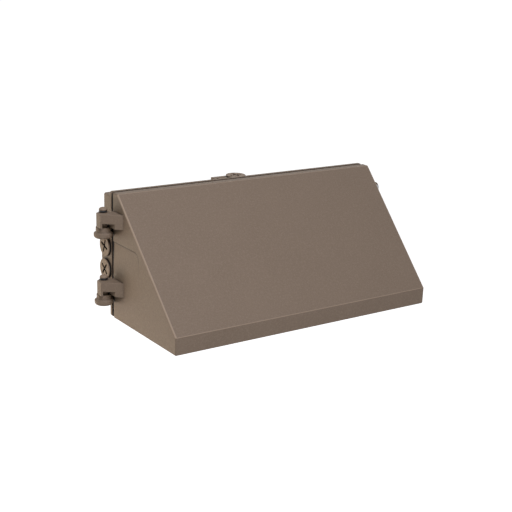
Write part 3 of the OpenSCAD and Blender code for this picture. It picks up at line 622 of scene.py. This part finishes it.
def crossed(shape, axis):
    """A tapered crossed recess in the face of every screw head that looks along the axis"""
    for group in list(islands(shape)):
        head = end_face(group, axis)
        centre = head.calc_center_bounds()
        radius = max((vert.co - centre).length for vert in head.verts)
        span = 2 * CROSS_SPAN * radius
        spot = Matrix.Translation(centre) @ axis.to_track_quat("Z", "Y").to_matrix().to_4x4()
        bmesh.ops.delete(shape, geom=[head], context="FACES_ONLY")
        made = bmesh.ops.create_grid(shape, x_segments=3, y_segments=3, size=span / 2,
                                     matrix=spot)["verts"]
        cells = list(dict.fromkeys(face for vert in made for face in vert.link_faces))
        corners = [face for face in cells
                   if (face.calc_center_median() - centre).length > CROSS_CORNER * span]
        bmesh.ops.delete(shape, geom=corners, context="FACES")
        cells = [face for face in cells if face.is_valid]
        for vert in dict.fromkeys(vert for face in cells for vert in face.verts):
            local = spot.inverted() @ vert.co
            local = Vector([c * CROSS_WING if abs(c) < CROSS_RIM * span else c for c in local])
            vert.co = spot @ local
        grown = bmesh.ops.extrude_face_region(shape, geom=cells)["geom"]
        low = [item for item in grown if isinstance(item, bmesh.types.BMVert)]
        bmesh.ops.delete(shape, geom=[face for face in cells if face.is_valid], context="FACES")
        bmesh.ops.scale(shape, vec=(CROSS_TAPER, CROSS_TAPER, 1), space=spot.inverted(), verts=low)
        bmesh.ops.translate(shape, vec=-axis * CROSS_DEPTH * radius, verts=low)
        for vert in low:
            for edge in vert.link_edges:
                edge.smooth = False
        rims = [edge for edge in shape.edges if edge.is_boundary]
        for edge in rims:
            edge.smooth = False
        bmesh.ops.bridge_loops(shape, edges=rims)
    bmesh.ops.recalc_face_normals(shape, faces=shape.faces)


def threaded(shape):
    """Trades the end of a closing screw's shank for a helical thread"""
    far = max(vert.co.y for vert in shape.verts)
    ends = [vert.co for vert in shape.verts if vert.co.y > far - TIP_BAND]
    tip = sum(ends, Vector()) / len(ends)
    start = tip - Vector((0, THREAD_PITCH * THREAD_TURNS, 0))
    everything = shape.verts[:] + shape.edges[:] + shape.faces[:]
    bmesh.ops.bisect_plane(shape, geom=everything, plane_co=start, plane_no=(0, 1, 0), clear_outer=True)
    bmesh.ops.edgeloop_fill(shape, edges=[edge for edge in shape.edges if edge.is_boundary])
    shank = set(shape.verts)
    line = []
    for k in range(2 * (THREAD_TURNS + THREAD_SPARE) + 1):
        out = THREAD_CREST if k % 2 else THREAD_ROOT
        along = (k / 2 - THREAD_SPARE) * THREAD_PITCH
        line.append(shape.verts.new(start + Vector((out, along, 0))))
    edges = [shape.edges.new(pair) for pair in zip(line, line[1:])]
    bmesh.ops.spin(shape, geom=line + edges, cent=tip, axis=(0, 1, 0), angle=math.tau,
                   dvec=(0, THREAD_PITCH / THREAD_STEPS, 0), steps=THREAD_STEPS)
    helix = [vert for vert in shape.verts if vert not in shank]
    bmesh.ops.remove_doubles(shape, verts=helix, dist=THREAD_MERGE)
    sunk = start - Vector((0, THREAD_SINK, 0))
    for spot, way in ((sunk, (0, -1, 0)), (tip, (0, 1, 0))):
        points = [vert for vert in shape.verts if vert not in shank]
        faces = dict.fromkeys(face for vert in points for face in vert.link_faces)
        edges = dict.fromkeys(edge for face in faces for edge in face.edges)
        bmesh.ops.bisect_plane(shape, geom=points + list(faces) + list(edges), plane_co=spot,
                               plane_no=way, clear_outer=True)
        bmesh.ops.edgeloop_fill(shape, edges=[edge for edge in shape.edges if edge.is_boundary])
    bmesh.ops.recalc_face_normals(shape, faces=shape.faces)


def windowed(shape):
    """A sunk window in the lower face of every emitter"""
    window = shape.verts.layers.float.new("window")
    for group in list(islands(shape)):
        face = end_face(group, Vector((0, 0, -1)))
        bmesh.ops.inset_region(shape, faces=[face], thickness=EMITTER_FRAME)
        bmesh.ops.inset_region(shape, faces=[face], thickness=EMITTER_STEP, depth=-EMITTER_SINK)
        for vert in face.verts:
            vert[window] = 1.0


def domed(shape):
    """Rounds the tips of the optic's domes"""
    low = min(vert.co.z for vert in shape.verts)
    tips = [edge for edge in shape.edges if all(vert.co.z < low + DOME_TIP for vert in edge.verts)]
    rounded(shape, tips, DOME_ROUND)


def cover_screws():
    """Small screws in the corners of the driver's cover"""
    low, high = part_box("led_driver_cover")
    shape = bmesh.new()
    for x in (low.x + COVER_SCREW_IN, high.x - COVER_SCREW_IN):
        for z in (low.z + COVER_SCREW_IN, high.z - COVER_SCREW_IN):
            place = Matrix.Translation((x, low.y - COVER_SCREW_H / 2, z))
            bmesh.ops.create_cone(shape, cap_ends=True, segments=COVER_SCREW_SIDES,
                                  radius1=COVER_SCREW_R, radius2=COVER_SCREW_R, depth=COVER_SCREW_H,
                                  matrix=place @ Matrix.Rotation(math.pi / 2, 4, "X"))
    soften(shape, COVER_SCREW_ROUND, COVER_SCREW_STEPS)
    crossed(shape, Vector((0, -1, 0)))
    thing = weighted(finished(shape, "driver_cover_screws", FINISH["zinc_steel"], smooth=True))
    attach(thing, "housing")


def weighted(thing):
    """Flat faces shade flat, and the rounds between them shade round"""
    even = thing.modifiers.new("even_normals", "WEIGHTED_NORMAL")
    even.keep_sharp = True
    even.weight = EVEN_WEIGHT
    return thing


def dress(node):
    """The node's own shape with softened edges and its fine detail, in place of the plain solid"""
    shape = solid_of(node)
    if node == "door_shell":
        # Layers for the painted highlight on the slope's ends and the painted shade in the side recess
        for layer in ("painted_highlight", "painted_shade"):
            shape.verts.layers.float.new(layer)
        highlight_on_slope_ends(shape)
        rounded(shape, arm_edges(shape), ARM_ROUND)
    if node.endswith("optic"):
        domed(shape)
    soften(shape, FINE_ROUND if node in FINE else EDGE_ROUND)
    if node == "door_shell":
        # Painted shade along the side recess's upper edge
        shade_in_recess(shape)
    if node in HEADS:
        crossed(shape, Vector(HEADS[node]))
    if node.endswith("closing_screw"):
        threaded(shape)
    if node.endswith("leds"):
        windowed(shape)
    slot = SLOTS[node]
    thing = weighted(finished(shape, node + "_dressed", FINISH[slot], smooth=True))
    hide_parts(node)
    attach(thing, BODIES[node])


FINISH = finishes()

bpy.context.scene.view_settings.view_transform = "Standard"
camera()
room()
floor()
lamps()

for node in SLOTS:
    dress(node)
cover_screws()
